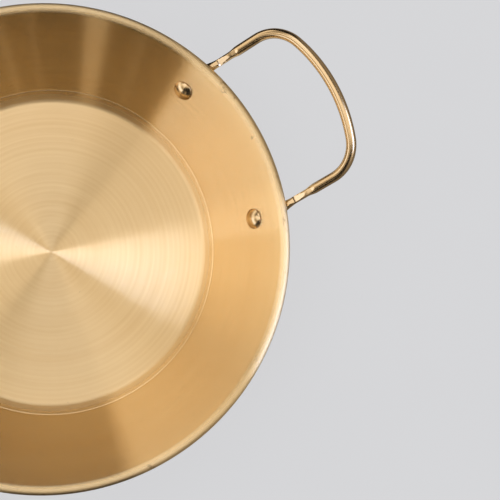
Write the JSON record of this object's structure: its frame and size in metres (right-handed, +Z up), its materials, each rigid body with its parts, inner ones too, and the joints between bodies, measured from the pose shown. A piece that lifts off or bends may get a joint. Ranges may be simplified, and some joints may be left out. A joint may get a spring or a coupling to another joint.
{
  "type": "two-handled pan",
  "caption": "Round shallow pan in brushed gold-toned steel, with a flat base, a flaring wall, a turned-out lip and riveted loop handles.",
  "frame": {"origin": "on the bowl's axis, at the underside of the flat base", "axes": "+Z up out of the bowl, +X through the middle of one handle, +Y level and square to it"},
  "size_m": [0.377, 0.28, 0.0754],
  "materials": {
    "brushed_gold": "circular brushed, gold-toned",
    "polished_gold": "polished, gold-toned"
  },
  "bodies": {
    "root": {"pan_body": "brushed_gold", "handle_right": "polished_gold", "handle_left": "polished_gold", "rivet_right_front": "polished_gold", "rivet_right_back": "polished_gold", "rivet_left_front": "polished_gold", "rivet_left_back": "polished_gold"}
  },
  "joints": []
}
